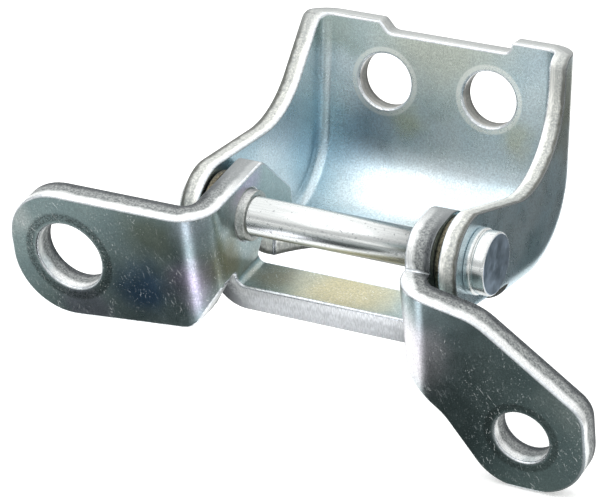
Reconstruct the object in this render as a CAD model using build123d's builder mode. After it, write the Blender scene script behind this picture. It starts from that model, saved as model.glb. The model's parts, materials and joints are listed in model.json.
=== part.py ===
from build123d import *
import os
from math import cos, sin, radians

# A car door hinge, in millimetres. The body bracket is a pressed steel tray that bolts to
# the pillar. The door bracket is a pressed steel saddle with two arms. A headed pin joins
# them. It is riveted into the body bracket, and the door bracket turns on it in two bushes.
# The origin is the middle of the two pillar holes, on the face that meets the pillar.
# X runs along the pin, +Y points into the pillar and +Z is up.

# Pin and bushes
pin_radius = 4.0
head_radius = 6.4
head_height = 2.9
collar_radius = 6.7
collar_height = 1.3
head_round = 0.5
rivet_radius = 6.5
rivet_height = 2.4
rivet_round = 1.0
bush_wall = 1.2
bush_tail = 1.8
flange_radius = 8.0
flange_gauge = 1.2
turning_clearance = 0.03
side_clearance = 0.3

# Body bracket
body_gauge = 4.0
body_half_width = 30.8
pin_setback = 48.5
bolt_rise = 17.0
plate_rise = 13.0
plate_corner = 3.0
bolt_spacing = 24.0
bolt_hole_radius = 6.0
wall_bend = 2.5
heel_bend = 16.0
floor_drop = 10.8
floor_front = 16.4
scoop_radius = 24.0
scoop_centre = 8.0
body_ear_radius = 9.6
ear_foot = 10.4
rim_height = 4.4
right_dip = 3.9
right_dip_start = 21.0
right_dip_round = 6.0
right_sweep = 17.5
left_rise = 1.2
left_slope_start = 29.2
left_slope_end = 1.0
left_sweep = 20.0
left_ear_shift = 1.0
notch_left = -13.6
notch_left_slant = 2.2
notch_right = 16.6
notch_right_slant = 0.6
notch_depth = 2.4
notch_rounds = (1.2, 2.2, 1.5, 0.6)

# Door bracket: saddle
door_gauge = 5.5
door_turn = 13.5
arm_reach = 17.8
fold_bend = 2.5
fold_margin = 0.4
web_drop = 12.5
web_bend = 1.6
web_setback = 2.2
web_rear = 2.4
left_ear_top = 7.9
right_ear_top = 8.6
ear_foot_drop = 9.5
ear_back = 8.6
lug_reach = 17.9
lug_slope = 9.9
lug_height = 4.8
lug_drop = 8.6
lug_round = 1.5
lug_root = 2.0
left_ear_round = 3.0
right_ear_rounds = (6.5, 8.0, 5.0)
relief_round = 1.0

# Door bracket: arms
left_hole_x = -52.3
left_hole_z = -6.2
left_hole_radius = 7.5
left_end_reach = 13.6
left_end_drop = 15.5
left_foot_x = -24.6
left_foot_z = -17.7
left_arm_rounds = (12.4, 12.4, 4.0, 1.0)
right_hole_x = 46.5
right_hole_z = -26.4
right_hole_radius = 5.75
right_arm_top = 1.4
right_shoulder_x = 38.0
right_shoulder_z = -1.4
right_end_reach = 13.3
right_end_top = 7.9
right_end_foot = 12.4
right_heel_reach = 7.0
right_knee_x = 30.0
right_knee_z = -25.0
right_foot_x = 20.6
right_foot_z = -17.4
right_arm_rounds = (6.0, 12.0, 6.0, 11.5, 10.0, 12.0, 2.5, 0.3)

# Sizes that follow from the ones above
pin_y = -pin_setback
pin_z = -bolt_rise
body_inner = body_half_width - body_gauge
ear_outer = body_inner - flange_gauge - side_clearance
ear_inner = ear_outer - door_gauge
bush_bore = pin_radius + turning_clearance
bush_radius = bush_bore + bush_wall
plate_back = pin_setback
plate_front = plate_back - body_gauge
plate_top = bolt_rise + plate_rise
floor_bottom = -floor_drop - body_gauge
fold_outer = fold_bend + door_gauge
fold_end = fold_margin + fold_outer - arm_reach
web_outer = web_bend + door_gauge
web_front = -fold_end - web_setback
arm_back = -arm_reach + door_gauge
web_bottom = -web_drop - door_gauge
reach = 120.0
cut_margin = 1.0

# Planes through the pin axis, square to the body bracket and to the door bracket
pin_point = (0, pin_y, pin_z)
door_back = (0, cos(radians(door_turn)), sin(radians(door_turn)))
door_up = (0, -sin(radians(door_turn)), cos(radians(door_turn)))
door_ahead = (0, -cos(radians(door_turn)), -sin(radians(door_turn)))
body_side = Plane(origin=pin_point, x_dir=(0, 1, 0), z_dir=(1, 0, 0))
body_plan = Plane(origin=pin_point, x_dir=(1, 0, 0), z_dir=(0, 0, 1))
pillar_face = Plane(origin=(0, 0, 0), x_dir=(1, 0, 0), z_dir=(0, -1, 0))
door_side = Plane(origin=pin_point, x_dir=door_back, z_dir=(1, 0, 0))
door_plan = Plane(origin=pin_point, x_dir=(1, 0, 0), z_dir=door_up)
door_face = Plane(origin=pin_point, x_dir=(1, 0, 0), z_dir=door_ahead)


# The long edges beside the plate, heel and floor, where a wall is bent up
def wall_creases(part, half_width):
    on_side = part.edges().filter_by(lambda e: abs(abs(e.center().X) - half_width) < 0.01)
    near = on_side.filter_by(lambda e: e.center().Y > pin_y - 0.75 * reach)
    return near.filter_by(lambda e: e.center().Z < pin_z + 0.75 * reach)


# The room inside the tray
with BuildPart() as tray_room:
    with BuildSketch(body_side):
        with BuildLine():
            FilletPolyline(
                (plate_front, reach),
                (plate_front, -floor_drop),
                (-reach, -floor_drop),
                radius=heel_bend,
            )
            Polyline((-reach, -floor_drop), (-reach, reach), (plate_front, reach))
        make_face()
    extrude(amount=body_inner, both=True)
    fillet(wall_creases(tray_room.part, body_inner), radius=wall_bend)

# The outline that the tray is cut to, seen along the pin: the left wall is the fuller one
with BuildPart() as tray_outline:
    with BuildSketch(body_side):
        with BuildLine():
            ThreePointArc((0, -body_ear_radius), (-body_ear_radius, 0), (0, body_ear_radius))
            FilletPolyline(
                (0, body_ear_radius),
                (right_dip_start, body_ear_radius - right_dip),
                (plate_front - rim_height, body_ear_radius - right_dip),
                (plate_front - rim_height, plate_top),
                (plate_back + cut_margin, plate_top),
                radius=(right_dip_round, right_sweep, plate_corner),
            )
            Polyline(
                (plate_back + cut_margin, plate_top),
                (plate_back + cut_margin, floor_bottom - cut_margin),
                (floor_front, floor_bottom - cut_margin),
                (floor_front, -ear_foot),
                (0, -body_ear_radius),
            )
        make_face()
    extrude(amount=body_half_width + cut_margin)
    with BuildSketch(body_side):
        with BuildLine():
            ThreePointArc(
                (left_ear_shift, -body_ear_radius),
                (left_ear_shift - body_ear_radius, 0),
                (left_ear_shift, body_ear_radius),
            )
            FilletPolyline(
                (left_ear_shift, body_ear_radius),
                (left_slope_start, body_ear_radius + left_rise),
                (plate_front - left_slope_end, plate_top),
                (plate_back + cut_margin, plate_top),
                radius=(left_sweep, plate_corner),
            )
            Polyline(
                (plate_back + cut_margin, plate_top),
                (plate_back + cut_margin, floor_bottom - cut_margin),
                (floor_front, floor_bottom - cut_margin),
                (floor_front, -ear_foot),
                (left_ear_shift, -body_ear_radius),
            )
        make_face()
    extrude(amount=-(body_half_width + cut_margin))

# The body bracket: one pressing with its plate, heel, floor, two walls and two ears
with BuildPart() as body_bracket:
    with BuildSketch(body_side):
        with BuildLine():
            FilletPolyline(
                (plate_back, reach),
                (plate_back, floor_bottom),
                (-reach, floor_bottom),
                radius=heel_bend + body_gauge,
            )
            Polyline((-reach, floor_bottom), (-reach, reach), (plate_back, reach))
        make_face()
    extrude(amount=body_half_width, both=True)
    fillet(wall_creases(body_bracket.part, body_half_width), radius=wall_bend + body_gauge)
    add(tray_room.part, mode=Mode.SUBTRACT)
    add(tray_outline.part, mode=Mode.INTERSECT)
    # The scoop in the floor, which the door bracket's web swings through
    with BuildSketch(body_plan.offset(floor_bottom - cut_margin)):
        with Locations((0, scoop_centre)):
            Circle(scoop_radius)
    extrude(amount=heel_bend, mode=Mode.SUBTRACT)
    # The pin hole through both ears
    with BuildSketch(body_side.offset(-body_half_width - cut_margin)):
        Circle(pin_radius)
    extrude(amount=2 * (body_half_width + cut_margin), mode=Mode.SUBTRACT)
    # The two pillar holes, and the shallow notch along the top of the plate
    with BuildSketch(pillar_face.offset(-cut_margin)):
        with GridLocations(bolt_spacing, 0, 2, 1):
            Circle(bolt_hole_radius)
    extrude(amount=body_gauge + 2 * cut_margin, mode=Mode.SUBTRACT)
    with BuildSketch(pillar_face.offset(-cut_margin)):
        with BuildLine():
            FilletPolyline(
                (notch_left - cut_margin, plate_rise),
                (notch_left, plate_rise),
                (notch_left + notch_left_slant, plate_rise - notch_depth),
                (notch_right - notch_right_slant, plate_rise - notch_depth),
                (notch_right, plate_rise),
                (notch_right + cut_margin, plate_rise),
                radius=notch_rounds,
            )
            Polyline(
                (notch_right + cut_margin, plate_rise),
                (notch_right + cut_margin, plate_rise + cut_margin),
                (notch_left - cut_margin, plate_rise + cut_margin),
                (notch_left - cut_margin, plate_rise),
            )
        make_face()
    extrude(amount=body_gauge + 2 * cut_margin, mode=Mode.SUBTRACT)
body_bracket.part.label = "body_bracket"

# The outline of the saddle, seen along the pin: the left ear has a lug behind the pin
with BuildPart() as saddle_outline:
    with BuildSketch(door_side):
        with BuildLine():
            FilletPolyline(
                (fold_end, right_arm_top),
                (fold_end, right_ear_top),
                (ear_back, right_ear_top),
                (ear_back, -ear_foot_drop),
                (web_rear, -ear_foot_drop),
                (web_rear, web_bottom - cut_margin),
                radius=(*right_ear_rounds, relief_round),
            )
            Polyline((web_rear, web_bottom - cut_margin), (-web_front, web_bottom - cut_margin))
            FilletPolyline(
                (-web_front, web_bottom - cut_margin),
                (-web_front, -ear_foot_drop),
                (fold_end, -ear_foot_drop),
                radius=relief_round,
            )
            Line((fold_end, -ear_foot_drop), (fold_end, right_arm_top))
        make_face()
    extrude(amount=ear_outer + cut_margin)
    with BuildSketch(door_side):
        with BuildLine():
            FilletPolyline(
                (fold_end, left_ear_top),
                (lug_reach - lug_slope, left_ear_top),
                (lug_reach, lug_height - lug_drop),
                (lug_reach, -lug_drop),
                (web_rear + lug_root, -lug_drop),
                (web_rear, -lug_drop - lug_root),
                (web_rear, web_bottom - cut_margin),
                radius=(left_ear_round, lug_round, lug_round, lug_round, lug_round),
            )
            Polyline((web_rear, web_bottom - cut_margin), (-web_front, web_bottom - cut_margin))
            FilletPolyline(
                (-web_front, web_bottom - cut_margin),
                (-web_front, -ear_foot_drop),
                (fold_end, -ear_foot_drop),
                radius=relief_round,
            )
            Line((fold_end, -ear_foot_drop), (fold_end, left_ear_top))
        make_face()
    extrude(amount=-(ear_outer + cut_margin))

# The saddle: two ears joined by the web
with BuildPart() as saddle:
    with BuildSketch(door_face.offset(-reach / 2)):
        with BuildLine():
            FilletPolyline(
                (-ear_outer, reach / 4),
                (-ear_outer, web_bottom),
                (ear_outer, web_bottom),
                (ear_outer, reach / 4),
                radius=web_outer,
            )
            FilletPolyline(
                (-ear_inner, reach / 4),
                (-ear_inner, -web_drop),
                (ear_inner, -web_drop),
                (ear_inner, reach / 4),
                radius=web_bend,
            )
            Line((-ear_outer, reach / 4), (-ear_inner, reach / 4))
            Line((ear_outer, reach / 4), (ear_inner, reach / 4))
        make_face()
    extrude(amount=reach)
    add(saddle_outline.part, mode=Mode.INTERSECT)

# The left arm and its fold: level on top, with a round end about its hole
with BuildPart() as left_arm:
    with BuildSketch(door_plan.offset(-reach / 2)):
        with BuildLine():
            FilletPolyline(
                (-ear_inner, fold_end),
                (-ear_inner, -arm_reach),
                (-reach, -arm_reach),
                radius=fold_outer,
            )
            FilletPolyline(
                (-ear_outer, fold_end),
                (-ear_outer, arm_back),
                (-reach, arm_back),
                radius=fold_bend,
            )
            Line((-ear_inner, fold_end), (-ear_outer, fold_end))
            Line((-reach, -arm_reach), (-reach, arm_back))
        make_face()
    extrude(amount=reach)
    with BuildSketch(door_face):
        with BuildLine():
            FilletPolyline(
                (0, left_ear_top),
                (left_hole_x - left_end_reach, left_ear_top),
                (left_hole_x - left_end_reach, left_hole_z - left_end_drop),
                (left_foot_x, left_foot_z),
                (-ear_inner, -ear_foot_drop),
                (0, -ear_foot_drop),
                radius=left_arm_rounds,
            )
            Line((0, -ear_foot_drop), (0, left_ear_top))
        make_face()
    extrude(amount=reach / 2, both=True, mode=Mode.INTERSECT)

# The right arm and its fold: it slopes down to a broad end about its hole
with BuildPart() as right_arm:
    with BuildSketch(door_plan.offset(-reach / 2)):
        with BuildLine():
            FilletPolyline(
                (ear_inner, fold_end),
                (ear_inner, -arm_reach),
                (reach, -arm_reach),
                radius=fold_outer,
            )
            FilletPolyline(
                (ear_outer, fold_end),
                (ear_outer, arm_back),
                (reach, arm_back),
                radius=fold_bend,
            )
            Line((ear_inner, fold_end), (ear_outer, fold_end))
            Line((reach, -arm_reach), (reach, arm_back))
        make_face()
    extrude(amount=reach)
    with BuildSketch(door_face):
        with BuildLine():
            FilletPolyline(
                (0, right_arm_top),
                (ear_outer, right_arm_top),
                (right_shoulder_x, right_shoulder_z),
                (right_hole_x + right_end_reach, right_hole_z + right_end_top),
                (right_hole_x + right_end_reach, right_hole_z - right_end_foot),
                (right_hole_x - right_heel_reach, right_hole_z - right_end_foot),
                (right_knee_x, right_knee_z),
                (right_foot_x, right_foot_z),
                (ear_inner, -ear_foot_drop),
                (0, -ear_foot_drop),
                radius=right_arm_rounds,
            )
            Line((0, -ear_foot_drop), (0, right_arm_top))
        make_face()
    extrude(amount=reach / 2, both=True, mode=Mode.INTERSECT)

# The door bracket: one pressing with its saddle, two arms and four holes
with BuildPart() as door_bracket:
    add(saddle.part)
    add(left_arm.part)
    add(right_arm.part)
    with BuildSketch(door_side.offset(-ear_outer - cut_margin)):
        Circle(bush_radius)
    extrude(amount=2 * (ear_outer + cut_margin), mode=Mode.SUBTRACT)
    with BuildSketch(door_face.offset(arm_reach + cut_margin)):
        with Locations((left_hole_x, left_hole_z)):
            Circle(left_hole_radius)
        with Locations((right_hole_x, right_hole_z)):
            Circle(right_hole_radius)
    extrude(amount=-(door_gauge + 2 * cut_margin), mode=Mode.SUBTRACT)
door_bracket.part.label = "door_bracket"

# The hinge pin: a plain shaft, riveted over on the left, with a collar and a head on the right
with BuildPart() as hinge_pin:
    with BuildSketch(body_side.offset(-body_half_width - rivet_height)):
        Circle(rivet_radius)
    extrude(amount=rivet_height)
    rivet_edge = hinge_pin.edges().filter_by(GeomType.CIRCLE).sort_by(Axis.X)[0]
    fillet(rivet_edge, radius=rivet_round)
    with BuildSketch(body_side.offset(-body_half_width)):
        Circle(pin_radius)
    extrude(amount=2 * body_half_width)
    with BuildSketch(body_side.offset(body_half_width)):
        Circle(collar_radius)
    extrude(amount=collar_height)
    with BuildSketch(body_side.offset(body_half_width + collar_height)):
        Circle(head_radius)
    extrude(amount=head_height)
    head_edge = hinge_pin.edges().filter_by(GeomType.CIRCLE).sort_by(Axis.X)[-1]
    fillet(head_edge, radius=head_round)
hinge_pin.part.label = "hinge_pin"

# The bushes: each fills an ear's hole, with its flange between the ear and the body's wall
bush_tail_end = ear_inner - bush_tail

with BuildPart() as right_bush:
    with BuildSketch(body_side.offset(bush_tail_end)):
        Circle(bush_radius)
    extrude(amount=ear_outer - bush_tail_end)
    with BuildSketch(body_side.offset(ear_outer)):
        Circle(flange_radius)
    extrude(amount=flange_gauge)
    with BuildSketch(body_side.offset(bush_tail_end - cut_margin)):
        Circle(bush_bore)
    extrude(amount=ear_outer + flange_gauge - bush_tail_end + 2 * cut_margin, mode=Mode.SUBTRACT)
right_bush.part.label = "right_bush"

with BuildPart() as left_bush:
    add(right_bush.part)
    mirror(about=Plane.YZ, mode=Mode.REPLACE)
left_bush.part.label = "left_bush"

os.makedirs("parts", exist_ok=True)
export_step(body_bracket.part, "parts/body_bracket.step")
export_step(door_bracket.part, "parts/door_bracket.step")
export_step(hinge_pin.part, "parts/hinge_pin.step")
export_step(left_bush.part, "parts/left_bush.step")
export_step(right_bush.part, "parts/right_bush.step")
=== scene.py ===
"""A zinc plated car door hinge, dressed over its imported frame.

Sizes are in metres in the frame's own axes: X runs along the pin, +Y into the pillar, +Z up.
"""
import json
import math

import bmesh
import bpy
import numpy as np
from bpy.props import FloatProperty, FloatVectorProperty, IntProperty, PointerProperty
from bpy.types import NodeSocket, Operator, Panel, PropertyGroup
from mathutils import Euler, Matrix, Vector


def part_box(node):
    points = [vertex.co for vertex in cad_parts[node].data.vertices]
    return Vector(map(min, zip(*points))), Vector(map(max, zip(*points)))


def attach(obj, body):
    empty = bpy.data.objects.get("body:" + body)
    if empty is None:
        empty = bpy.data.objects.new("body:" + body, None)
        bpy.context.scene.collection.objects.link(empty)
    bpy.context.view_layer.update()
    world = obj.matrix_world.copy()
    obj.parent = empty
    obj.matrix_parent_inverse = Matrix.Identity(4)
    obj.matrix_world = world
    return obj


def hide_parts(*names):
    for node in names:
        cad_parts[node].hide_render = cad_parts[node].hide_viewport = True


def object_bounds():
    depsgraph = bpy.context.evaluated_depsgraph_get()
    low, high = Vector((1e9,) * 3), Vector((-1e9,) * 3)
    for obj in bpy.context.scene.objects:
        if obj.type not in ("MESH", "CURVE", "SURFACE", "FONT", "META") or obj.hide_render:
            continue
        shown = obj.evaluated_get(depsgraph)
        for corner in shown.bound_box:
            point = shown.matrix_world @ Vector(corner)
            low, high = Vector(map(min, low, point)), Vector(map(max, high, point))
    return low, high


bl_info = {
    "name": "Car Door Hinge",
    "version": (1, 0, 0),
    "blender": (4, 5, 0),
    "location": "3D View > Sidebar > Hinge",
    "description": "Dresses a pressed steel door hinge: two plated brackets, a turned pin and its bushes",
    "category": "Object",
}

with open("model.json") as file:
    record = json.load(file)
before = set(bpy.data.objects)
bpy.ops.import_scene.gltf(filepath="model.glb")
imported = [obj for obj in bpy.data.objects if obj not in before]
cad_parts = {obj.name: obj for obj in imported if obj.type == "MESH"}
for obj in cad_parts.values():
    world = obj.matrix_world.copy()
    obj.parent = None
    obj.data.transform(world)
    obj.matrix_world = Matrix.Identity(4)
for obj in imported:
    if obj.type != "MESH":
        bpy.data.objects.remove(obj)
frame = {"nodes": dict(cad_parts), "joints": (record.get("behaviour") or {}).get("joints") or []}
FRAME_BOX = [list(corner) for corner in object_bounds()]
MM = 0.001
TOUCHING = 0.001 * MM  # points closer together than this are one
SKIN, WALL, LIP = 0, 1, 2  # a pressing's material slots: sheet skin, punched wall, rounded lip


def linear(code):
    """Turns an sRGB hex colour into linear red, green, blue."""
    parts = [int(code[i:i + 2], 16) / 255 for i in (1, 3, 5)]
    return tuple(c / 12.92 if c <= 0.04045 else ((c + 0.055) / 1.055) ** 2.4 for c in parts)


def opaque(colour):
    """A colour with its alpha, from a hex code or from linear red, green, blue."""
    return (*(linear(colour) if isinstance(colour, str) else colour), 1.0)


def in_metres(place):
    """A place or a size that is given in millimetres, as a tuple in metres."""
    return tuple(c * MM for c in place)


def length(name, description, millimetres):
    """A size of the hinge, given in millimetres and kept in metres."""
    return FloatProperty(name=name, description=description, default=millimetres * MM, unit="LENGTH")


def angle(name, description, degrees):
    """An angle of the hinge or the camera, given in degrees."""
    return FloatProperty(name=name, description=description, default=math.radians(degrees), unit="ROTATION")


def tint(name, description, code):
    """A colour of a finish, given as an sRGB hex code."""
    return FloatVectorProperty(name=name, description=description, default=linear(code), subtype="COLOR")


class HingePressings(PropertyGroup):
    """Sizes of the two pressings that their punched edges and skins are found from."""

    body_gauge: length("Body gauge", "Sheet thickness of the body bracket", 4.0)
    heel_bend: length("Heel bend", "Inner radius between the plate and the floor", 16.0)
    wall_bend: length("Wall bend", "Inner radius at the foot of each wall", 2.5)
    floor_drop: length("Floor drop", "From the pin's axis down to the floor", 10.8)
    door_gauge: length("Door gauge", "Sheet thickness of the door bracket", 5.5)
    door_turn: angle("Door turn", "How far the door bracket stands open at rest", 13.5)
    arm_reach: length("Arm reach", "From the pin's axis to the front of the arms", 17.8)
    ear_outer: length("Ear face", "From the middle to the outer face of each ear", 25.3)
    fold_bend: length("Fold bend", "Inner radius of the door bracket's folds", 2.5)
    web_bend: length("Web bend", "Inner radius between the web and its ears", 1.6)
    web_drop: length("Web drop", "From the pin's axis down to the web", 12.5)
    web_setback: length("Web setback", "From the folds back to the web's front edge", 2.2)
    rolled_edge: length("Rolled edge", "Rounding on the side the punch entered", 0.5)
    burr_share: FloatProperty(name="Burr share", description="Rounding on the burr side, as a share",
                              default=0.4, min=0.0, max=1.0, subtype="FACTOR")
    edge_steps: IntProperty(name="Edge steps", description="Faces across a rounded edge", default=3, min=1)


class HingePinSizes(PropertyGroup):
    """Sizes of the turned pin and of the bushes it runs in."""

    shaft_radius: length("Shaft", "Radius of the pin's shaft", 4.0)
    head_radius: length("Head", "Radius of the pin's head", 6.4)
    collar_height: length("Collar height", "Height of the collar under the head", 1.3)
    rivet_radius: length("Rivet", "Radius of the riveted end", 6.5)
    bush_wall: length("Bush wall", "Thickness of each bush's sleeve", 1.2)
    running_gap: length("Running gap", "Gap between the pin and its bushes", 0.03)
    flange_gauge: length("Flange", "Thickness of each bush's flange", 1.2)
    steps: IntProperty(name="Steps round", description="Faces round each turned piece", default=128, min=16)


class HingeFinish(PropertyGroup):
    """Colours of the plating and the metals."""

    tray_zinc: tint("Tray zinc", "Plain side of the tray's plating", "#CBDBE1")
    tray_film: tint("Tray film", "Blue side of the tray's plating", "#BDD6E1")
    saddle_zinc: tint("Saddle zinc", "Plain side of the saddle's plating", "#AFC1C1")
    saddle_film: tint("Saddle film", "Blue side of the saddle's plating", "#A3B6B8")
    lip_zinc: tint("Lip zinc", "Rounded lips of the punched edges", "#D3D8DB")
    pin_zinc: tint("Pin zinc", "The drawn and plated pin", "#D4D7D6")
    head_zinc: tint("Head zinc", "Blue side of the head's turned face", "#A9BACB")
    bush_sleeve: tint("Bush sleeve", "Tinned side of the bushes", "#C9CBC8")
    # The flange colour is a bronze brown darkened as painted shade of the gap between ear and wall.
    flange_gap_shade: tint("Bush flange", "Oiled side of the bushes", "#7C7664")
    paper: tint("Paper", "The pale paper the hinge stands on", "#F4F4F3")


class HingeView(PropertyGroup):
    """Where the camera stands, and how bright the white room is."""

    target: FloatVectorProperty(name="Target", description="What the camera looks at", subtype="XYZ",
                                unit="LENGTH", default=(-5.7 * MM, -52.8 * MM, -20.2 * MM))
    distance: length("Distance", "From the target to the camera", 633.3)
    azimuth: angle("Azimuth", "Camera's turn from the front towards +X", 27.64)
    elevation: angle("Elevation", "Camera's height above the level", 20.8)
    roll: angle("Roll", "Camera's turn about its own axis", -1.06)
    lens: FloatProperty(name="Lens", description="Focal length in millimetres on a 36 mm sensor",
                        default=191.95)
    sky: FloatProperty(name="Sky", description="Strength of the white studio at eye level", default=0.78)
    zenith: FloatProperty(name="Zenith", description="Strength of the white studio overhead", default=1.45)


def add(tree, kind, inputs=None, out=0, **settings):
    """Adds a shader node, sets its properties, sets or links each named input, and gives one output."""
    made = tree.nodes.new("ShaderNode" + kind)
    for name, value in settings.items():
        setattr(made, name, value)
    for name, value in (inputs or {}).items():
        if isinstance(value, NodeSocket):
            tree.links.new(value, made.inputs[name])
        else:
            made.inputs[name].default_value = value
    return made.outputs[out] if made.outputs else made


def new_material(name):
    """An empty node material and its tree."""
    material = bpy.data.materials.new(name)
    material.use_nodes = True
    material.node_tree.nodes.clear()
    return material, material.node_tree


def per_mm(size):
    """The texture scale at which a pattern repeats about every `size` millimetres."""
    return 1.0 / (size * MM)


def laid_over(tree, base, *layers):
    """Lays colours over a base one after another, each by its mask times its greatest share."""
    for mask, most, colour in layers:
        share = add(tree, "Math", {0: mask, 1: most}, operation="MULTIPLY")
        under, upper = (c if isinstance(c, NodeSocket) else opaque(c) for c in (base, colour))
        base = add(tree, "Mix", {0: share, 6: under, 7: upper}, 2, data_type="RGBA")
    return base


def soft_patches(tree, where, size, low, high, detail=3.0):
    """Noise of about `size` millimetres, stretched between two levels to run from 0 to 1."""
    noise = add(tree, "TexNoise", {"Vector": where, "Scale": per_mm(size), "Detail": detail}, "Fac")
    return add(tree, "MapRange", {"Value": noise, "From Min": low, "From Max": high})


def warped(tree, place, size, detail, shift, middle):
    """Coordinates that noise of `size` millimetres pushes about by some `shift` millimetres."""
    noise = add(tree, "TexNoise", {"Vector": place, "Scale": per_mm(size), "Detail": detail}, "Color")
    noise = add(tree, "VectorMath", {0: noise, 1: (middle,) * 3}, operation="SUBTRACT")
    return add(tree, "VectorMath", {0: noise, 1: (shift * MM,) * 3, 2: place}, operation="MULTIPLY_ADD")


def drawn_lines(tree, where, across, along, turn, low, high):
    """Noise drawn out along one direction, as draw lines and rolling marks are: sizes in mm."""
    drawn = add(tree, "Mapping", {"Vector": where, "Rotation": turn, "Scale": (along / across, 1.0, 1.0)},
                vector_type="TEXTURE")
    return soft_patches(tree, drawn, across, low, high, detail=2.0)


def hair_scratches(tree, where, turn, long, wide):
    """Short straight scratches: cells drawn out one way, with a needle in the middle of each."""
    drawn = add(tree, "Mapping", {"Vector": where, "Rotation": turn, "Scale": (long / wide, 1.0, 1.0)},
                vector_type="TEXTURE")
    cells = add(tree, "TexVoronoi", {"Vector": drawn, "Scale": per_mm(wide * 5.0)}, "Distance")
    return add(tree, "MapRange", {"Value": cells, "From Min": 0.17, "From Max": 0.09})


def soft_spot(tree, where, centre, reach):
    """A soft round spot, full at its centre and gone at `reach` millimetres: callers lay film tints, plain
    tones, painted light and painted shade with it.
    """
    away = add(tree, "VectorMath", {0: where, 1: in_metres(centre)}, "Value", operation="DISTANCE")
    return add(tree, "MapRange", {"Value": away, "From Min": reach * MM, "From Max": 0.2 * reach * MM},
               interpolation_type="SMOOTHSTEP")


def coined_ring(tree, where, centre, radius, half):
    """The grainy ring that a bolt's washer face presses: middle radius and half width in mm."""
    away = add(tree, "VectorMath", {0: where, 1: in_metres(centre)}, "Value", operation="DISTANCE")
    off = add(tree, "Math", {0: away, 1: radius * MM}, operation="SUBTRACT")
    off = add(tree, "Math", {0: off}, operation="ABSOLUTE")
    return add(tree, "MapRange", {"Value": off, "From Min": 1.3 * half * MM, "From Max": 0.7 * half * MM})


def metal(material, tree, base, metallic, roughness, height, strength, relief):
    """Closes a metal: its colour, its roughness, and a height field `relief` millimetres deep."""
    bump = add(tree, "Bump", {"Height": height, "Strength": strength, "Distance": relief * MM})
    shader = add(tree, "BsdfPrincipled", {"Base Color": base, "Metallic": metallic,
                                          "Roughness": roughness, "Normal": bump})
    add(tree, "OutputMaterial", {0: shader})
    return material


def zinc_plating(name, ground, film, near, far, roughness, scratches, rings):
    """Bright zinc with a clear blue passivation over cold formed steel.

    The film gives the eye a blue-white metal whose tint drifts over some 10 mm. Soft spots on the near skin
    and on the far one add tints of the film, and also painted light and painted shade where a skin stands
    lit or shaded. The sheet under it is not polished, so its reflections are soft, with a grain of a few
    tenths of a millimetre, and handling in the barrel left short bright scratches.
    """
    material, tree = new_material(name)
    place = add(tree, "TexCoord", out="Object")
    depth = add(tree, "Attribute", out="Fac", attribute_name="sheet_depth")
    where = warped(tree, place, 9.0, 3.0, 9.0, middle=0.5)
    base = laid_over(tree, ground, (soft_patches(tree, place, 11.0, 0.36, 0.64), 1.0, film))
    # Spots carry film tints as well as painted light and painted shade.
    for tints_and_light, start, end in ((near, 0.6, 0.4), (far, 0.4, 0.6)):
        skin = add(tree, "MapRange", {"Value": depth, "From Min": start, "From Max": end})
        for colour, centre, reach, most in tints_and_light:
            spot = add(tree, "Math", {0: soft_spot(tree, where, centre, reach), 1: skin}, operation="MULTIPLY")
            base = laid_over(tree, base, (spot, most, colour))
    grain = soft_patches(tree, place, 0.34, 0.34, 0.66, detail=2.0)
    base = laid_over(tree, base, (grain, 0.36, "#646B6F"))
    pressed = add(tree, "Math", {0: grain, 1: 0.5, 2: 0.35}, operation="MULTIPLY_ADD")
    for centre, radius, half, colour in rings:
        ring = add(tree, "Math", {0: coined_ring(tree, place, centre, radius, half), 1: pressed},
                   operation="MULTIPLY")
        base = laid_over(tree, base, (ring, 1.0, colour))
    bent = warped(tree, place, 1.6, 1.0, 0.9, middle=0.0)
    marks = hair_scratches(tree, bent, (0.3, 0.9, 0.5), 2.4, 0.12)
    for turn, long in (((1.1, 0.2, -0.8), 1.8), ((0.2, -1.2, 0.9), 2.2), ((0.7, 1.4, 0.2), 2.0)):
        marks = add(tree, "Math", {0: marks, 1: hair_scratches(tree, bent, turn, long, 0.11)},
                    operation="MAXIMUM")
    worn = add(tree, "Math", {0: soft_patches(tree, place, 7.0, 0.32, 0.58), 1: scratches},
               operation="MULTIPLY")
    marks = add(tree, "Math", {0: marks, 1: worn}, operation="MULTIPLY")
    base = laid_over(tree, base, (marks, 1.0, "#EEF0EF"))
    metallic = add(tree, "Math", {0: marks, 1: -0.5, 2: 1.0}, operation="MULTIPLY_ADD")
    rough = add(tree, "Math", {0: soft_patches(tree, place, 5.0, 0.35, 0.65), 1: 0.06, 2: roughness},
                operation="MULTIPLY_ADD")
    rough = add(tree, "Math", {0: grain, 1: 0.05, 2: rough}, operation="MULTIPLY_ADD")
    peel = soft_patches(tree, place, 1.1, 0.2, 0.8, detail=1.0)
    return metal(material, tree, base, metallic, rough, peel, 0.10, 0.05)


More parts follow.
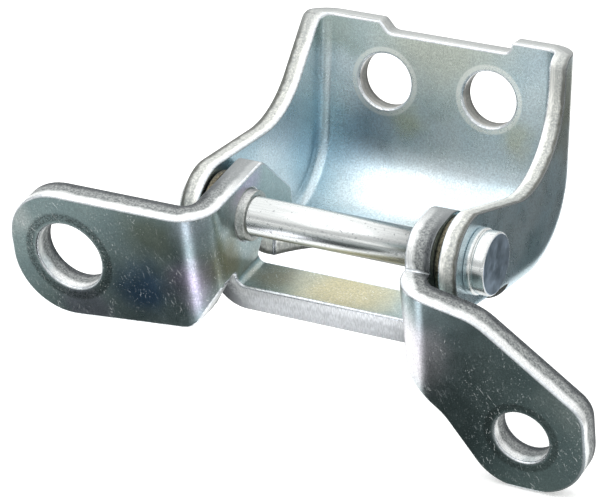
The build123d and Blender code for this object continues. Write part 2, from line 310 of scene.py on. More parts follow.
def sheared_edge(name, burnished, torn, breakout_and_shade, spots):
    """The wall that a punch leaves, then zinc plated.

    Through the gauge it runs from a burnished band that the punch wiped smooth, about a third of the sheet,
    to a torn band with a grain of a few tenths of a millimetre, and ends in a dark fracture band at the
    burr, which is partly painted shade of the rear edge. Fine draw lines cross it, and the bands' borders
    wander. A spot lays one tone over the whole wall about a point; the callers use spots for painted shade,
    painted light and plain grey.
    """
    material, tree = new_material(name)
    where = add(tree, "TexCoord", out="Object")
    depth = add(tree, "Attribute", out="Fac", attribute_name="sheet_depth")
    wander = soft_patches(tree, where, 2.2, 0.3, 0.7, detail=6.0)
    wander = add(tree, "Math", {0: wander, 1: 0.12, 2: -0.06}, operation="MULTIPLY_ADD")
    level = add(tree, "Math", {0: depth, 1: wander}, operation="ADD")
    tearing = add(tree, "MapRange", {"Value": level, "From Min": 0.28, "From Max": 0.44})
    # The dark band at the burr is partly painted shade of the rear edge.
    broken_and_shaded = add(tree, "MapRange", {"Value": level, "From Min": 0.68, "From Max": 0.84})
    grit = soft_patches(tree, where, 0.42, 0.34, 0.66)
    draws = drawn_lines(tree, where, 0.24, 3.2, (0.0, math.pi / 2, 0.0), 0.36, 0.66)
    gritty = laid_over(tree, torn, (grit, 1.0, "#A6A9A7"))
    base = laid_over(tree, burnished, (tearing, 1.0, gritty), (broken_and_shaded, 1.0, breakout_and_shade))
    # Spots lay one tone over the wall: painted shade in the tray's hole walls, painted light on the
    # saddle's web edge, and plain grey elsewhere.
    for centre, reach, colour in spots:
        base = laid_over(tree, base, (soft_spot(tree, where, centre, reach), 0.8, colour))
    base = laid_over(tree, base, (draws, 0.42, "#7F8385"))
    coarse = add(tree, "Math", {0: tearing, 1: 0.9, 2: 0.1}, operation="MULTIPLY_ADD")
    grain = add(tree, "Math", {0: grit, 1: coarse}, operation="MULTIPLY")
    rough = add(tree, "Math", {0: tearing, 1: 0.22, 2: 0.34}, operation="MULTIPLY_ADD")
    return metal(material, tree, base, 0.6, rough, grain, 0.45, 0.08)


def rolled_edge(name):
    """The rounded lip of a punched edge: burnished where the punch entered, darkened at the burr side as
    painted shade of the rear edge.
    """
    material, tree = new_material(name)
    where = add(tree, "TexCoord", out="Object")
    depth = add(tree, "Attribute", out="Fac", attribute_name="sheet_depth")
    # Painted shade: the lip's burr side is darkened, as the rear edge lies in shade.
    burr = add(tree, "MapRange", {"Value": depth, "From Min": 0.5, "From Max": 0.8})
    nicks = soft_patches(tree, where, 0.7, 0.45, 0.65)
    base = laid_over(tree, bpy.context.scene.hinge_finish.lip_zinc, (nicks, 0.5, "#A7ABB0"),
                     (burr, 0.9, "#5A5E5F"))
    rough = add(tree, "Math", {0: nicks, 1: 0.12, 2: 0.26}, operation="MULTIPLY_ADD")
    return metal(material, tree, base, 1.0, rough, nicks, 0.2, 0.06)


def drawn_pin(zinc):
    """Cold drawn steel, zinc plated and rubbed bright: streaks run lengthwise, with small nicks."""
    material, tree = new_material("Drawn zinc plated pin")
    where = add(tree, "TexCoord", out="Object")
    streaks = drawn_lines(tree, where, 0.30, 14.0, (0.0, 0.0, 0.0), 0.35, 0.68)
    nicks = soft_patches(tree, where, 0.6, 0.60, 0.72)
    base = laid_over(tree, zinc, (streaks, 0.3, "#9CA1A3"), (nicks, 0.5, "#5F656B"))
    pits = add(tree, "Math", {0: nicks, 1: -0.6}, operation="MULTIPLY")
    height = add(tree, "Math", {0: streaks, 1: 0.3, 2: pits}, operation="MULTIPLY_ADD")
    rough = add(tree, "Math", {0: streaks, 1: 0.08, 2: 0.20}, operation="MULTIPLY_ADD")
    return metal(material, tree, base, 1.0, rough, height, 0.2, 0.05)


def turned_head(zinc):
    """The head's end face: turned, so fine rings circle the axis, with a blue cast in the plating."""
    material, tree = new_material("Turned zinc plated head")
    where = add(tree, "TexCoord", out="Object")
    centred = add(tree, "Mapping", {"Vector": where, "Location": tuple(-pin_centre())})
    rings = add(tree, "TexWave", {"Vector": centred, "Scale": per_mm(6.0), "Distortion": 0.6,
                                  "Detail": 2.0}, "Fac", wave_type="RINGS", rings_direction="X")
    patches = soft_patches(tree, where, 2.2, 0.35, 0.7)
    base = laid_over(tree, "#8494A3", (patches, 1.0, zinc))
    rough = add(tree, "Math", {0: patches, 1: 0.10, 2: 0.30}, operation="MULTIPLY_ADD")
    return metal(material, tree, base, 1.0, rough, rings, 0.15, 0.05)


def bush_metal(name, dark, light):
    """Steel strip rolled into a bush: faintly grained, pale where it is tinned; on the flange a brown
    darkened as painted shade of the narrow gap between ear and wall.
    """
    material, tree = new_material(name)
    grains = soft_patches(tree, add(tree, "TexCoord", out="Object"), 0.4, 0.38, 0.66)
    base = laid_over(tree, dark, (grains, 1.0, light))
    rough = add(tree, "Math", {0: grains, 1: 0.15, 2: 0.34}, operation="MULTIPLY_ADD")
    return metal(material, tree, base, 1.0, rough, grains, 0.3, 0.04)


def node_box(name):
    """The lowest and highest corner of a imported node, as arrays."""
    low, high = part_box(name)
    return np.array(low), np.array(high)


def pin_centre():
    """The middle of the hinge's axis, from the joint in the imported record."""
    return np.array(frame["joints"][0]["pos_m"])


def corner_depth(first, second, radius):
    """How far a point lies past a corner of two planes that is rounded to a radius.

    From the rounding's own centre lines, it is the length of the positive distances, or the
    larger of two negative ones, less the radius.
    """
    past = np.stack((first + radius, second + radius))
    return np.sqrt((np.maximum(past, 0) ** 2).sum(0)) + np.minimum(past.max(0), 0) - radius


def body_depth(points):
    """Depth of each point into the body bracket's sheet, measured from the tray's inner skin.

    The inner skin is a corner of two planes, the plate's front and the floor's top, rounded to the
    heel's radius, that meets each wall's inner face in a corner rounded to the wall's bend.
    """
    sizes = bpy.context.scene.hinge_pressings
    high = node_box("body_bracket")[1]
    plate = points[:, 1] - (high[1] - sizes.body_gauge)
    floor = (pin_centre()[2] - sizes.floor_drop) - points[:, 2]
    trough = corner_depth(plate, floor, sizes.heel_bend)
    wall = np.abs(points[:, 0]) - (high[0] - sizes.body_gauge)
    return corner_depth(trough, wall, sizes.wall_bend)


def door_depth(points):
    """Depth of each point into the door bracket's sheet, measured from the side that faces the pin.

    It works in the bracket's own axes: x along the pin, y towards the pillar, z up. Ears and web are
    a trough with rounded corners under the pin. An arm and its fold are the rounded corner of the
    ear's outer face and the arm's back, taken from the far side.
    """
    sizes = bpy.context.scene.hinge_pressings
    overlap = 0.1 * MM
    x, flat_y, flat_z = (points - pin_centre()).T
    c, s = math.cos(sizes.door_turn), math.sin(sizes.door_turn)
    y, z = flat_y * c + flat_z * s, flat_z * c - flat_y * s
    side = np.abs(x)
    trough = corner_depth(side - (sizes.ear_outer - sizes.door_gauge), -sizes.web_drop - z, sizes.web_bend)
    back = corner_depth(sizes.ear_outer - side, -(sizes.arm_reach - sizes.door_gauge) - y, sizes.fold_bend)
    fold_end = sizes.fold_bend + sizes.door_gauge - sizes.arm_reach
    return np.where(y < fold_end + sizes.web_setback - overlap, sizes.door_gauge - back, trough)


def sheet_slope(points, depth_at):
    """The way through the sheet at each point: the unit slope of the depth, by central differences."""
    step = 0.02 * MM
    slope = np.stack([depth_at(points + step * axis) - depth_at(points - step * axis)
                      for axis in np.eye(3)], -1)
    return slope / np.maximum(np.linalg.norm(slope, axis=1, keepdims=True), 1e-12)


def field(items, name, width=1, kind=float):
    """One value, or one row of values, for each of a mesh's items, read at once."""
    values = np.zeros(len(items) * width, kind)
    items.foreach_get(name, values)
    return values.reshape(-1, width) if width > 1 else values


def mark_edges(mesh, depth_at, gauge, burr_share):
    """Tells skins from punched walls, and gives each edge between them its rounding.

    A face that looks along the way through the sheet is a skin. Any other is a punched wall. An edge
    is rounded fully where it meets the skin at depth 0, and by the burr's share at the other skin.
    """
    along_sheet = 0.75
    through = sheet_slope(field(mesh.polygons, "center", 3), depth_at)
    skin = np.abs((field(mesh.polygons, "normal", 3) * through).sum(1)) > along_sheet
    mesh.polygons.foreach_set("material_index", np.where(skin, SKIN, WALL).astype(np.int32))
    ends = field(mesh.edges, "vertices", 2, np.int32)
    middle = field(mesh.vertices, "co", 3)[ends].mean(1)
    return np.where(np.abs(depth_at(middle)) < gauge / 2, 1.0, burr_share)


def face_sum(count, chosen, pull, owner, corner):
    """Each vertex's unit sum of the pull of the chosen faces about it, and whether it has any."""
    picked = chosen[owner]
    total = np.zeros((count, 3))
    np.add.at(total, corner[picked], pull[owner[picked]])
    touched = np.zeros(count, bool)
    touched[corner[picked]] = True
    return total / np.maximum(np.linalg.norm(total, axis=1, keepdims=True), 1e-20), touched


def sheet_normals(mesh, depth_at):
    """Shades the pressing as a true sheet.

    A skin's normal is the slope of the depth itself, so its bends have no facets. A punched wall
    takes the mean of its own faces, and a rounded lip runs from the one to the other. Where the
    result would turn too far from a face's own normal, that face keeps its own.
    """
    true_slope, same_wall, skin_limit, lip_limit = 0.9, 0.8, 0.7, 0.05
    count = len(mesh.vertices)
    totals = field(mesh.polygons, "loop_total", 1, np.int32)
    owner = np.repeat(np.arange(len(totals)), totals)
    corner = field(mesh.loops, "vertex_index", 1, np.int32)
    slots = field(mesh.polygons, "material_index", 1, np.int32)
    normals = field(mesh.polygons, "normal", 3)
    pull = normals * field(mesh.polygons, "area")[:, None]
    slope = sheet_slope(field(mesh.vertices, "co", 3), depth_at)
    (skin_mean, on_skin), (wall_mean, on_wall), (lip_mean, _) = (
        face_sum(count, slots == slot, pull, owner, corner) for slot in (SKIN, WALL, LIP))
    agree = (skin_mean * slope).sum(1)
    skin = np.where((np.abs(agree) > true_slope)[:, None], slope * np.sign(agree)[:, None], skin_mean)
    own, slot = normals[owner], slots[owner]
    skin, mean = skin[corner], wall_mean[corner]
    lip = np.where(on_skin[corner][:, None], skin,
                   np.where(on_wall[corner][:, None], mean, lip_mean[corner]))
    wall = np.where(((mean * own).sum(1) > same_wall)[:, None], mean, own)
    chosen = np.where((slot == SKIN)[:, None], skin, np.where((slot == WALL)[:, None], wall, lip))
    stray = (chosen * own).sum(1) < np.where(slot == LIP, lip_limit, skin_limit)
    mesh.normals_split_custom_set(np.where(stray[:, None], own, chosen).tolist())


def cut_at_bends(mesh, bends):
    """Cuts every face where a bend starts or ends, given as point and normal of each such plane."""
    shape = bmesh.new()
    shape.from_mesh(mesh)
    for point, normal in bends:
        whole = [*shape.verts, *shape.edges, *shape.faces]
        bmesh.ops.bisect_plane(shape, geom=whole, dist=TOUCHING, plane_co=point, plane_no=normal)
    shape.to_mesh(mesh)
    shape.free()


def placed(name, data):
    """A new object in the scene that shows a mesh, a lamp or a camera."""
    made = bpy.data.objects.new(name, data)
    bpy.context.scene.collection.objects.link(made)
    return made


def pressed_skin(name, node, depth_at, gauge, materials, bends):
    """A copy of a packed pressing with its triangles merged and its punched edges rounded.

    The frame's own outline is kept, because the pressing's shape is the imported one. Coplanar
    triangles become whole faces, and only sharp edges are rounded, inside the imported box. Each
    point then keeps its depth through the sheet, as a share of the gauge, for the punched walls, and
    the faces are cut at the bends so that this depth runs evenly across each of them.
    """
    weld, flat_turn, sharp_turn = 0.004 * MM, math.radians(0.6), math.radians(35)
    sizes = bpy.context.scene.hinge_pressings
    mesh = frame["nodes"][node].data.copy()
    mesh.name = name
    shape = bmesh.new()
    shape.from_mesh(mesh)
    bmesh.ops.remove_doubles(shape, verts=shape.verts, dist=weld)
    bmesh.ops.dissolve_limit(shape, angle_limit=flat_turn, verts=shape.verts, edges=shape.edges)
    shape.to_mesh(mesh)
    sharp = np.array([edge.calc_face_angle(0.0) for edge in shape.edges]) > sharp_turn
    shape.free()
    mesh.materials.clear()
    for material in materials:
        mesh.materials.append(material)
    share = np.where(sharp, mark_edges(mesh, depth_at, gauge, sizes.burr_share), 0.0)
    weight = mesh.attributes.new("bevel_weight_edge", "FLOAT", "EDGE")
    weight.data.foreach_set("value", share.astype(np.float32))
    mesh.shade_smooth()
    piece = placed(name, mesh)
    bevel = piece.modifiers.new("Rounded punched edges", "BEVEL")
    bevel.limit_method = "WEIGHT"
    bevel.width = sizes.rolled_edge
    bevel.segments = sizes.edge_steps
    bevel.use_clamp_overlap = False
    bevel.material = LIP
    depsgraph = bpy.context.evaluated_depsgraph_get()
    rounded = bpy.data.meshes.new_from_object(piece.evaluated_get(depsgraph), depsgraph=depsgraph)
    piece.modifiers.clear()
    piece.data = rounded
    cut_at_bends(rounded, bends)
    points = np.clip(field(rounded.vertices, "co", 3), *node_box(node))
    rounded.vertices.foreach_set("co", points.ravel())
    depth = rounded.attributes.new("sheet_depth", "FLOAT", "POINT")
    depth.data.foreach_set("value", (depth_at(points) / gauge).astype(np.float32))
    sheet_normals(rounded, depth_at)
    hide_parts(node)
    return piece


def arc_corner(before, corner, after, radius, steps=5):
    """Points of the arc that rounds one corner of a profile, tangent to both its sides."""
    nearly_straight = math.radians(89)
    before, corner, after = (np.array(p, float) for p in (before, corner, after))
    first = (before - corner) / np.linalg.norm(before - corner)
    second = (after - corner) / np.linalg.norm(after - corner)
    half = math.acos(np.clip(first @ second, -1, 1)) / 2
    if radius <= 0 or half > nearly_straight:
        return corner[None]
    inward = (first + second) / np.linalg.norm(first + second)
    centre = corner + inward * radius / math.sin(half)
    sweep = (math.pi / 2 - half) * np.linspace(-1, 1, steps)
    across = np.array([-inward[1], inward[0]])
    if across @ (second - first) < 0:
        across = -across
    return centre - radius * (np.cos(sweep)[:, None] * inward - np.sin(sweep)[:, None] * across)


def rounded_profile(corners, closed=False):
    """A turned profile: corner points (x, r, rounding) joined by straight runs and tangent arcs."""
    count = len(corners)
    pieces = []
    for i, (x, r, rounding) in enumerate(corners):
        if not closed and i in (0, count - 1):
            pieces.append(np.array([[x, r]]))
            continue
        before, after = corners[i - 1][:2], corners[(i + 1) % count][:2]
        pieces.append(arc_corner(before, (x, r), after, rounding))
    return np.concatenate(pieces)


def turned_piece(name, profile, steps, materials, face_slots, closed=False):
    """A surface of revolution about the hinge's axis, on a grid of profile point by angle.

    A point is (x, r cos a, r sin a) from the pin's centre. An open profile starts and ends on the
    axis, where its first and last rows are drawn together into one vertex each.
    """
    turn = np.linspace(0, 2 * math.pi, steps, endpoint=False)
    x = np.repeat(profile[:, :1], steps, axis=1)
    grid = np.stack([x, profile[:, 1:] * np.cos(turn), profile[:, 1:] * np.sin(turn)], axis=-1)
    points = grid.reshape(-1, 3) + pin_centre()
    rows = len(profile)
    row = np.arange(rows if closed else rows - 1)[:, None]
    column = np.arange(steps)[None]
    beside = (column + 1) % steps
    this, below = row * steps, (row + 1) % rows * steps
    faces = np.stack([this + column, this + beside, below + beside, below + column], -1)
    mesh = bpy.data.meshes.new(name)
    mesh.from_pydata(points.tolist(), [], faces.reshape(-1, 4).tolist())
    for material in materials:
        mesh.materials.append(material)
    mesh.polygons.foreach_set("material_index", np.repeat(face_slots, steps).astype(np.int32))
    shape = bmesh.new()
    shape.from_mesh(mesh)
    bmesh.ops.remove_doubles(shape, verts=shape.verts, dist=TOUCHING)
    bmesh.ops.recalc_face_normals(shape, faces=shape.faces)
    shape.to_mesh(mesh)
    shape.free()
    mesh.shade_smooth()
    return placed(name, mesh)


class HINGE_OT_body_bracket(Operator):
    """Dresses the tray that bolts to the pillar"""

    bl_idname = "hinge.body_bracket"
    bl_label = "Body Bracket"

    # Spots of film tint and painted light, each its colour, its centre and reach in mm, and its share. The
    # near-white ones over the floor, the heel, the plate's left and the left wall are painted light, the
    # dark grey-green one at the plate's upper right is painted shade, and the blue and straw ones are tints
    # of the film.
    TINTS_AND_PAINTED_LIGHT = (("#D6DCCF", (0, -4, 12), 24, 0.9), ("#A9B5AA", (-25, -4, 10), 13, 0.7),
              ("#AFD3EC", (-20, -4, -12), 13, 0.6), ("#CDD2B4", (-7, -4, -7), 6, 0.7),
              ("#D2D5BC", (18, -4, -7), 6, 0.6), ("#E8F2F5", (2, -16, -28), 30, 0.9),
              ("#DDF4FB", (-27, -10, -8), 14, 0.8), ("#E8F6FB", (-29, -10, 6), 9, 0.8),
              ("#EEF8FC", (-21, -4, -1), 9, 0.8), ("#F6FBFD", (-29, -24, -10), 15, 0.9),
              ("#F6FBFD", (-20, -20, -28), 15, 0.9), ("#85918F", (27, -4, 11), 6, 0.6),
              ("#A9B8C0", (8, -8, -22), 12, 0.4), ("#D6E4E8", (23, -4, 0), 10, 0.7))
    # Spots on the far skin: the dark olive one on the right wall's outer face is painted shade, the others
    # are tints of the film.
    FAR_TINTS_AND_PAINTED_SHADE = (("#8B8B74", (31, -8, 4), 15, 0.8), ("#8FB3BC", (31, -22, -25), 9, 0.7),
                  ("#B9C6CE", (-8, -2, -16), 26, 0.7), ("#C3C6B4", (10, 0, -4), 14, 0.5))
    # A ring is its centre, middle radius and half width in mm, and its colour.
    RINGS = tuple(((x, -4, 0), 7.0, 0.5, "#F4F7F2") for x in (-12, 12))
    # A spot is its centre and reach in mm, and its colour: painted shade that darkens the hole walls, then
    # a grey over the plate's top edge.
    SPOTS = (*(((x, -2, 0), 15, "#4A4741") for x in (-12, 12)),
             *(((x, -2, 13), 13, "#A4A7A6") for x in (-24, -12, 0, 12, 24)))

    def execute(self, context):
        sizes, finish = context.scene.hinge_pressings, context.scene.hinge_finish
        plating = zinc_plating("Blue passivated zinc pressing", finish.tray_zinc, finish.tray_film,
                               self.TINTS_AND_PAINTED_LIGHT, self.FAR_TINTS_AND_PAINTED_SHADE, roughness=0.24, scratches=0.12,
                               rings=self.RINGS)
        sheared = sheared_edge("Sheared edge of the tray", "#F4F4EE", "#D8D9D2", "#55564F", self.SPOTS)
        skin = pressed_skin("tray_bracket", "body_bracket", body_depth, sizes.body_gauge,
                            [plating, sheared, rolled_edge("Rolled edge of the tray")],
                            self.bends(sizes))
        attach(skin, "body")
        return {"FINISHED"}

    def bends(self, sizes):
        """Where the floor and the plate turn into the walls, and where the heel starts and ends."""
        high = node_box("body_bracket")[1]
        side = high[0] - sizes.body_gauge - sizes.wall_bend
        front = high[1] - sizes.body_gauge
        floor = pin_centre()[2] - sizes.floor_drop
        bend_sizes = (sizes.wall_bend, sizes.heel_bend)
        return [*(((x, 0, 0), (1, 0, 0)) for x in (-side, side)),
                *(((0, 0, floor + bend), (0, 0, 1)) for bend in bend_sizes),
                *(((0, front - bend, 0), (0, 1, 0)) for bend in bend_sizes)]


class HINGE_OT_door_bracket(Operator):
    """Dresses the saddle and its two arms"""

    bl_idname = "hinge.door_bracket"
    bl_label = "Door Bracket"

    # Spots of film tint and painted light, each its colour, centre and reach in mm, and share: the pale
    # lilac and white ones on the two folds and at the arms' ends are painted highlights; the blue, olive
    # and gold ones are tints of the film.
    TINTS_AND_PAINTED_LIGHT = (("#5E86B2", (-35, -63, -31), 9, 0.85), ("#8E9580", (-33, -66, -18), 9, 0.7),
              ("#C9C2D6", (-50, -62, -38), 9, 0.6), ("#CFC49B", (2, -47, -29), 17, 0.85),
              ("#A0957C", (-14, -47, -29), 9, 0.8), ("#C6BAD2", (-20, -50, -11), 8, 0.8),
              ("#8C8B70", (-20, -58, -24), 8, 0.8), ("#DCCFE8", (-24, -64, -28), 8, 0.8),
              ("#D5E2EB", (-24, -66, -14), 7, 0.7), ("#F6F1F5", (23, -62, -33), 13, 0.9),
              ("#DDE6E4", (57, -64, -38), 9, 0.7), ("#E4EAE8", (-64, -64, -20), 7, 0.8))
    RINGS = (((-52.3, -64.4, -27.2), 9.2, 0.9, "#4E5657"), ((46.5, -59.6, -46.8), 7.2, 0.7, "#6C7575"))
    # Painted light on the web's front edge, then a grey over the tops of the ears and over the left fold's
    # lower end.
    SPOTS = (*(((x, -54, -34), 13, "#DDE0E4") for x in (-12, 0, 12)),
             *(((x, -44, -6), 15, "#8F9394") for x in (-22, 22)), ((-22, -63, -40), 8, "#8A8E90"))

    def execute(self, context):
        sizes, finish = context.scene.hinge_pressings, context.scene.hinge_finish
        plating = zinc_plating("Tumbled zinc pressing", finish.saddle_zinc, finish.saddle_film,
                               self.TINTS_AND_PAINTED_LIGHT, (), roughness=0.27, scratches=0.72, rings=self.RINGS)
        sheared = sheared_edge("Sheared edge of the saddle", "#E8EAE9", "#585D5F", "#33373A", self.SPOTS)
        skin = pressed_skin("saddle_bracket", "door_bracket", door_depth, sizes.door_gauge,
                            [plating, sheared, rolled_edge("Rolled edge of the saddle")],
                            self.bends(sizes))
        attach(skin, "door")
        return {"FINISHED"}

    def bends(self, sizes):
        """Where the web turns into the ears, and where each fold starts and ends."""
        c, s = math.cos(sizes.door_turn), math.sin(sizes.door_turn)
        pin = pin_centre()
        web_side = sizes.ear_outer - sizes.door_gauge - sizes.web_bend
        fold_side = sizes.ear_outer + sizes.fold_bend
        rise = sizes.web_bend - sizes.web_drop
        fold_end = sizes.fold_bend + sizes.door_gauge - sizes.arm_reach
        across = [((x, 0, 0), (1, 0, 0)) for x in (-fold_side, -web_side, web_side, fold_side)]
        return across + [(tuple(pin + rise * np.array([0, -s, c])), (0, -s, c)),
                         (tuple(pin + fold_end * np.array([0, c, s])), (0, c, s))]


class HINGE_OT_pin(Operator):
    """Turns the pin, with its riveted end on the left and its head on the right"""

    bl_idname = "hinge.pin"
    bl_label = "Hinge Pin"

    def execute(self, context):
        sizes, finish = context.scene.hinge_pin_sizes, context.scene.hinge_finish
        low, high = node_box("hinge_pin")
        wall = node_box("body_bracket")[1][0]
        collar_radius = (high[2] - low[2]) / 2
        collar_end = wall + sizes.collar_height
        dimple, dimple_radius, rivet_crown, rivet_draft = 0.5 * MM, 2.4 * MM, 1.2 * MM, 0.2 * MM
        groove, groove_depth, head_start, dish = 0.1 * MM, 0.25 * MM, 0.5 * MM, 0.12 * MM
        profile = rounded_profile([
            (low[0] + dimple, 0.0, 0.0),
            (low[0], dimple_radius, 0.8 * MM),
            (low[0], sizes.rivet_radius - rivet_crown, 0.6 * MM),
            (low[0] + rivet_crown, sizes.rivet_radius, 0.6 * MM),
            (-wall, sizes.rivet_radius - rivet_draft, 0.1 * MM),
            (-wall, sizes.shaft_radius, 0.0),
            (wall, sizes.shaft_radius, 0.0),
            (wall, collar_radius, 0.25 * MM),
            (collar_end, collar_radius, 0.35 * MM),
            (collar_end + groove, sizes.head_radius - groove_depth, 0.15 * MM),
            (collar_end + head_start, sizes.head_radius, 0.3 * MM),
            (high[0], sizes.head_radius, 0.5 * MM),
            (high[0] - dish, 0.0, 0.0),
        ])
        middle, radius = ((profile[1:] + profile[:-1]) / 2).T
        on_face = (middle > high[0] - 0.2 * MM) & (radius < sizes.head_radius - 0.3 * MM)
        metals = [drawn_pin(finish.pin_zinc), turned_head(finish.head_zinc)]
        piece = turned_piece("turned_pin", profile, sizes.steps, metals, on_face.astype(int))
        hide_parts("hinge_pin")
        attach(piece, "body")
        return {"FINISHED"}


class HINGE_OT_bushes(Operator):
    """Makes the flanged bush in each ear"""

    bl_idname = "hinge.bushes"
    bl_label = "Flanged Bushes"

    def execute(self, context):
        sizes, finish = context.scene.hinge_pin_sizes, context.scene.hinge_finish
        metals = [bush_metal("Tinned bush sleeve", "#9DA09D", finish.bush_sleeve),
                  # The flange's dark brown is painted shade of its gap between ear and wall.
                  bush_metal("Oiled bush flange", "#47433A", finish.flange_gap_shade)]
        bore = sizes.shaft_radius + sizes.running_gap
        sleeve = bore + sizes.bush_wall
        for side, node in ((-1, "left_bush"), (1, "right_bush")):
            low, high = node_box(node)
            inner, outer = (low[0], high[0]) if side > 0 else (high[0], low[0])
            flange_radius = (high[2] - low[2]) / 2
            flange_start = outer - side * sizes.flange_gauge
            profile = rounded_profile([
                (inner, bore, 0.25 * MM),
                (inner, sleeve, 0.3 * MM),
                (flange_start, sleeve, 0.0),
                (flange_start, flange_radius, 0.25 * MM),
                (outer, flange_radius, 0.25 * MM),
                (outer, bore, 0.3 * MM),
            ], closed=True)
            middle = np.abs((profile[:, 0] + np.roll(profile[:, 0], -1)) / 2)
            on_flange = middle > abs(flange_start) - 0.05 * MM
            piece = turned_piece(f"{node}_turned", profile, sizes.steps, metals, on_flange.astype(int),
                                 closed=True)
            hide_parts(node)
            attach(piece, "door")
        return {"FINISHED"}


def stage_plane(name, size, place, material):
    """A level stage panel of a given size, centred on a place."""
    mesh = bpy.data.meshes.new(name)
    x, y = size[0] / 2, size[1] / 2
    mesh.from_pydata([(-x, -y, 0), (x, -y, 0), (x, y, 0), (-x, y, 0)], [], [(0, 1, 2, 3)])
    mesh.materials.append(material)
    panel = placed(name, mesh)
    panel.location = place
    return panel


def paper_floor(paper):
    """White seamless paper: matt, and lifted to white where the camera or the metal sees it."""
    material, tree = new_material("Seamless paper")
    rays = add(tree, "LightPath").node.outputs
    seen = rays["Is Camera Ray"]
    for ray in ("Is Glossy Ray", "Is Transmission Ray"):
        seen = add(tree, "Math", {0: seen, 1: rays[ray]}, operation="MAXIMUM")
    lift = add(tree, "Math", {0: seen, 1: 0.25}, operation="MULTIPLY")
    shader = add(tree, "BsdfPrincipled", {"Base Color": opaque(paper), "Roughness": 0.9,
                                          "Specular IOR Level": 0.1, "Emission Color": (1, 1, 1, 1),
                                          "Emission Strength": lift})
    add(tree, "OutputMaterial", {0: shader})
    return material


def graded_card(name, centre, stops, streak, strength):
    """A matt studio card that lightens outward from a point, by stops of distance in mm and grey.

    A streak is a lighter patch on it, given by its centre and half width in mm, drawn out along Y.
    """
    material, tree = new_material(name)
    where = add(tree, "NewGeometry", out="Position")
    reach = stops[-1][0]
    away = add(tree, "VectorMath", {0: where, 1: (*in_metres(centre), FRAME_BOX[0][2])}, "Value",
               operation="DISTANCE")
    colour = add(tree, "ValToRGB", {0: add(tree, "Math", {0: away, 1: reach * MM}, operation="DIVIDE")})
    knots = colour.node.color_ramp.elements
    while len(knots) < len(stops):
        knots.new(1.0)
    for knot, (distance, grey) in zip(knots, stops):
        knot.position, knot.color = distance / reach, opaque(grey)
    if streak:
        x, y, half = streak
        squash, glare = 0.4, (3.4, 3.4, 3.65)
        drawn = add(tree, "Mapping", {"Vector": where, "Scale": (1.0, squash, 0.0)})
        near = add(tree, "VectorMath", {0: drawn, 1: in_metres((x, squash * y, 0.0))}, "Value",
                   operation="DISTANCE")
        share = add(tree, "MapRange", {"Value": near, "From Min": 1.4 * half * MM,
                                       "From Max": 0.6 * half * MM})
        colour = laid_over(tree, colour, (share, 1.0, glare))
    add(tree, "OutputMaterial", {0: add(tree, "Emission", {"Color": colour, "Strength": strength})})
    return material


def lamp(name, place, target, size, power):
    """A rectangular soft lamp aimed at a point."""
    light = bpy.data.lights.new(name, "AREA")
    light.shape = "RECTANGLE"
    light.size, light.size_y = size
    light.energy = power
    made = placed(name, light)
    made.location = place
    made.rotation_euler = (Vector(target) - Vector(place)).to_track_quat("-Z", "Y").to_euler()


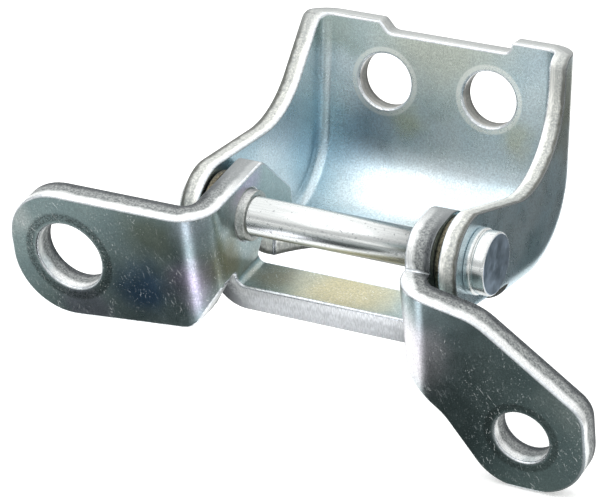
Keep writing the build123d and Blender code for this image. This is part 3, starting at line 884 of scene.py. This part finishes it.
class HINGE_OT_stage(Operator):
    """Sets the pale floor, the studio light and the camera"""

    bl_idname = "hinge.stage"
    bl_label = "Stage"

    FAR = ((90, "#C2C8CA"), (115, "#D2D6D7"), (160, "#E6E8E5"), (240, "#F4F4F4"))
    LEFT = ((0, "#353D3E"), (49, "#3B4444"), (57, "#6E7674"), (66, "#AEB6B4"), (76, "#CDD3D2"))
    RIGHT = ((0, "#2C3232"), (50, "#343B3A"), (64, "#6E7674"), (76, "#7E8583"))
    BACK = ((0, "#585F62"), (120, "#62696B"), (200, "#70706C"), (260, "#A8ABAA"), (300, "#D0D0D0"))
    FILL = ((0, "#FFFFFF"), (30, "#FFFFFF"), (50, "#8A8E8C"), (100, "#8A8E8C"))
    WHITE = ((0, "#FFFFFF"), (100, "#FFFFFF"))
    # Cards that only the metal mirrors. Each has its names, its size, its middle with its height
    # above the floor and the centre of its grading, all in mm, then its stops, streak and strength.
    CARDS = (("front_card", "Graded front card", (282, 334), (-129, -232, 0.5), (-20, -60), LEFT + FAR,
              (-7, -96, 7), 1.0),
             ("side_card", "Graded side card", (238, 355), (131, -222.5, 0.5), (-20, -60), RIGHT + FAR,
              None, 1.0),
             ("fill_card", "White fill card", (75, 95), (-25.5, -17.5, 0.5), (-20, -60), FILL, None, 1.6),
             ("fold_card", "White fold card", (30, 9), (-10, -69.5, 0.7), (0, 0), WHITE, None, 1.9),
             ("back_card", "Graded back card", (300, 300), (190, 160, 0.5), (0, -45), BACK, None, 1.0))
    # Lamps: place and size in metres, then watts.
    LAMPS = (("Front softbox", (-0.40, -0.52, 0.70), (1.1, 0.9), 2.4),
             ("Overhead softbox", (-0.30, 0.15, 0.90), (0.8, 0.6), 0.8),
             ("Rear softbox", (-0.45, 0.84, 0.32), (0.9, 0.6), 1.0))

    def execute(self, context):
        scene = context.scene
        view = scene.hinge_view
        scene.view_settings.view_transform = "Standard"
        floor_level = FRAME_BOX[0][2]
        stage_plane("paper_floor", (6.0, 6.0), (0, 0, floor_level - 0.2 * MM),
                    paper_floor(scene.hinge_finish.paper))
        for name, card, size, (x, y, lift), *grading in self.CARDS:
            panel = stage_plane(name, in_metres(size), (x * MM, y * MM, floor_level + lift * MM),
                                graded_card(card, *grading))
            for ray in ("camera", "diffuse", "shadow", "transmission"):
                setattr(panel, "visible_" + ray, False)
        for name, place, size, power in self.LAMPS:
            lamp(name, place, view.target, size, power)
        self.white_room(scene, view)
        self.camera(scene, view)
        return {"FINISHED"}

    def white_room(self, scene, view):
        """A white room that is plain at eye level and brighter overhead, as under a light tent."""
        world = bpy.data.worlds.new("White room")
        world.use_nodes = True
        tree = world.node_tree
        tree.nodes.clear()
        height = add(tree, "SeparateXYZ", {0: add(tree, "TexCoord", out="Generated")}, "Z")
        dome = add(tree, "MapRange", {"Value": height, "From Min": 0.15, "From Max": 0.65,
                                      "To Min": view.sky, "To Max": view.zenith},
                   interpolation_type="SMOOTHSTEP")
        seen = add(tree, "LightPath", out="Is Camera Ray")
        strength = add(tree, "Mix", {0: seen, 2: dome, 3: 1.0}, data_type="FLOAT")
        background = add(tree, "Background", {"Color": (1, 1, 1, 1), "Strength": strength})
        add(tree, "OutputWorld", {0: background})
        scene.world = world

    def camera(self, scene, view):
        """A camera on a sphere about its target, turned by azimuth, elevation and roll."""
        made = bpy.data.cameras.new("Camera")
        made.sensor_width = 36.0
        made.lens = view.lens
        made.clip_start, made.clip_end = 0.01, 20.0
        camera = placed("Camera", made)
        level = math.cos(view.elevation)
        outward = Vector((level * math.sin(view.azimuth), -level * math.cos(view.azimuth),
                          math.sin(view.elevation)))
        camera.location = Vector(view.target) + view.distance * outward
        aim = outward.to_track_quat("Z", "Y").to_matrix()
        camera.rotation_euler = (aim @ Euler((0, 0, -view.roll)).to_matrix()).to_euler()
        scene.camera = camera


class HINGE_PT_panel(Panel):
    """Lists the hinge's pieces in the sidebar"""

    bl_label = "Car Door Hinge"
    bl_space_type = "VIEW_3D"
    bl_region_type = "UI"
    bl_category = "Hinge"

    def draw(self, context):
        for operator in PIECES:
            self.layout.operator(operator.bl_idname)
        for name in GROUPS:
            group = getattr(context.scene, name)
            box = self.layout.box()
            for entry in group.__annotations__:
                box.prop(group, entry)


GROUPS = {"hinge_pressings": HingePressings, "hinge_pin_sizes": HingePinSizes,
          "hinge_finish": HingeFinish, "hinge_view": HingeView}
PIECES = (HINGE_OT_body_bracket, HINGE_OT_door_bracket, HINGE_OT_pin, HINGE_OT_bushes, HINGE_OT_stage)


def register():
    for cls in (*GROUPS.values(), *PIECES, HINGE_PT_panel):
        bpy.utils.register_class(cls)
    for name, group in GROUPS.items():
        setattr(bpy.types.Scene, name, PointerProperty(type=group))


def unregister():
    for name in GROUPS:
        delattr(bpy.types.Scene, name)
    for cls in reversed((*GROUPS.values(), *PIECES, HINGE_PT_panel)):
        bpy.utils.unregister_class(cls)


def main():
    register()
    bpy.ops.hinge.body_bracket()
    bpy.ops.hinge.door_bracket()
    bpy.ops.hinge.pin()
    bpy.ops.hinge.bushes()
    bpy.ops.hinge.stage()


if __name__ == "__main__":
    main()
